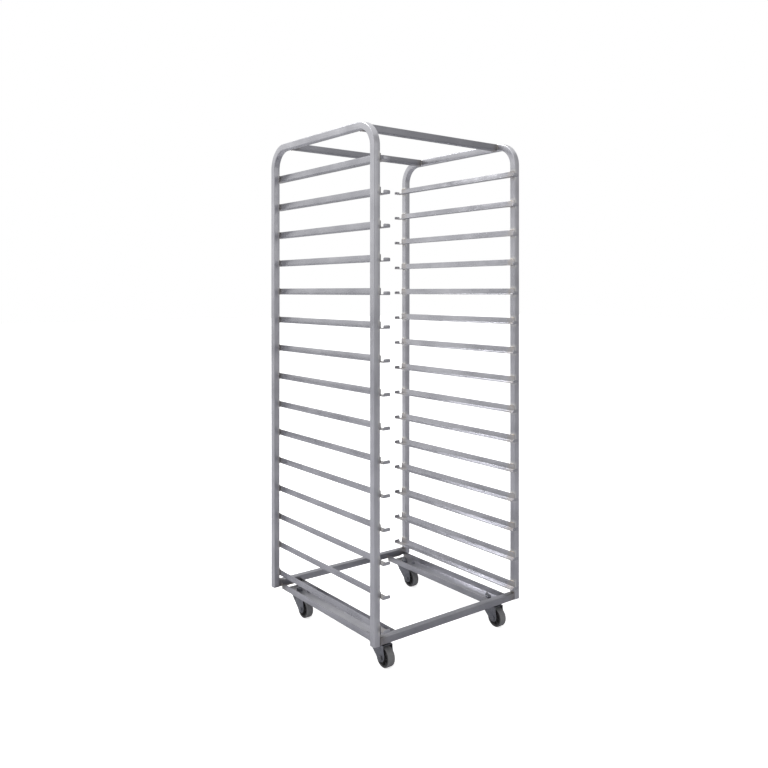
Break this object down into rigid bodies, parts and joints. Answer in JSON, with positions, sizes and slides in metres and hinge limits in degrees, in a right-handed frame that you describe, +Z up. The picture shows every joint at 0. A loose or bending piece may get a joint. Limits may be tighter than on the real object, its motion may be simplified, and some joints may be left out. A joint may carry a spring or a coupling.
{
  "type": "sheet pan rack",
  "caption": "Tall open tray trolley with bent square tube side frames, angle runners turned up at their ends, cross bars, base channels and swivelling casters.",
  "frame": {"origin": "on the floor, under the middle of the rack's plan", "axes": "+Z up, -Y towards the front where trays go in, +X to the right seen from the front"},
  "size_m": [0.683, 0.71, 1.8185],
  "materials": {
    "brushed_stainless": "brushed stainless tube and folded sheet, with ground welds",
    "zinc_plated_steel": "pressed steel caster fittings, dull zinc plate",
    "dark_resin": "moulded heat resistant wheel, matt, scuffed on the tread"
  },
  "bodies": {
    "rack": {"left_side_frame": "brushed_stainless", "right_side_frame": "brushed_stainless", "front_top_bar": "brushed_stainless", "rear_top_bar": "brushed_stainless", "front_base_bar": "brushed_stainless", "rear_base_bar": "brushed_stainless", "left_base_rail": "brushed_stainless", "right_base_rail": "brushed_stainless", "left_runner_01": "brushed_stainless", "left_runner_02": "brushed_stainless", "left_runner_03": "brushed_stainless", "left_runner_04": "brushed_stainless", "left_runner_05": "brushed_stainless", "left_runner_06": "brushed_stainless", "left_runner_07": "brushed_stainless", "left_runner_08": "brushed_stainless", "left_runner_09": "brushed_stainless", "left_runner_10": "brushed_stainless", "left_runner_11": "brushed_stainless", "left_runner_12": "brushed_stainless", "left_runner_13": "brushed_stainless", "left_runner_14": "brushed_stainless", "left_runner_15": "brushed_stainless", "right_runner_01": "brushed_stainless", "right_runner_02": "brushed_stainless", "right_runner_03": "brushed_stainless", "right_runner_04": "brushed_stainless", "right_runner_05": "brushed_stainless", "right_runner_06": "brushed_stainless", "right_runner_07": "brushed_stainless", "right_runner_08": "brushed_stainless", "right_runner_09": "brushed_stainless", "right_runner_10": "brushed_stainless", "right_runner_11": "brushed_stainless", "right_runner_12": "brushed_stainless", "right_runner_13": "brushed_stainless", "right_runner_14": "brushed_stainless", "right_runner_15": "brushed_stainless", "front_left_caster_plate": "zinc_plated_steel", "front_left_king_bolt": "zinc_plated_steel", "front_right_caster_plate": "zinc_plated_steel", "front_right_king_bolt": "zinc_plated_steel", "rear_left_caster_plate": "zinc_plated_steel", "rear_left_king_bolt": "zinc_plated_steel", "rear_right_caster_plate": "zinc_plated_steel", "rear_right_king_bolt": "zinc_plated_steel"},
    "front_left_swivel_fork": {"front_left_caster_fork": "zinc_plated_steel", "front_left_axle_bolt": "zinc_plated_steel"},
    "front_left_rolling_wheel": {"front_left_wheel": "dark_resin"},
    "front_right_swivel_fork": {"front_right_caster_fork": "zinc_plated_steel", "front_right_axle_bolt": "zinc_plated_steel"},
    "front_right_rolling_wheel": {"front_right_wheel": "dark_resin"},
    "rear_left_swivel_fork": {"rear_left_caster_fork": "zinc_plated_steel", "rear_left_axle_bolt": "zinc_plated_steel"},
    "rear_left_rolling_wheel": {"rear_left_wheel": "dark_resin"},
    "rear_right_swivel_fork": {"rear_right_caster_fork": "zinc_plated_steel", "rear_right_axle_bolt": "zinc_plated_steel"},
    "rear_right_rolling_wheel": {"rear_right_wheel": "dark_resin"}
  },
  "joints": [
    {"name": "front_left_swivel", "type": "hinge", "parent": "rack", "child": "front_left_swivel_fork", "pos_m": [-0.263, -0.2525, 0], "axis": [0, 0, 1], "continuous": true},
    {"name": "front_left_spin", "type": "hinge", "parent": "front_left_swivel_fork", "child": "front_left_rolling_wheel", "pos_m": [-0.263, -0.2965, 0.035], "axis": [1, 0, 0], "continuous": true},
    {"name": "front_right_swivel", "type": "hinge", "parent": "rack", "child": "front_right_swivel_fork", "pos_m": [0.263, -0.2525, 0], "axis": [0, 0, 1], "continuous": true},
    {"name": "front_right_spin", "type": "hinge", "parent": "front_right_swivel_fork", "child": "front_right_rolling_wheel", "pos_m": [0.263, -0.2965, 0.035], "axis": [1, 0, 0], "continuous": true},
    {"name": "rear_left_swivel", "type": "hinge", "parent": "rack", "child": "rear_left_swivel_fork", "pos_m": [-0.263, 0.2525, 0], "axis": [0, 0, 1], "continuous": true},
    {"name": "rear_left_spin", "type": "hinge", "parent": "rear_left_swivel_fork", "child": "rear_left_rolling_wheel", "pos_m": [-0.263, 0.2085, 0.035], "axis": [1, 0, 0], "continuous": true},
    {"name": "rear_right_swivel", "type": "hinge", "parent": "rack", "child": "rear_right_swivel_fork", "pos_m": [0.263, 0.2525, 0], "axis": [0, 0, 1], "continuous": true},
    {"name": "rear_right_spin", "type": "hinge", "parent": "rear_right_swivel_fork", "child": "rear_right_rolling_wheel", "pos_m": [0.263, 0.2085, 0.035], "axis": [1, 0, 0], "continuous": true}
  ]
}
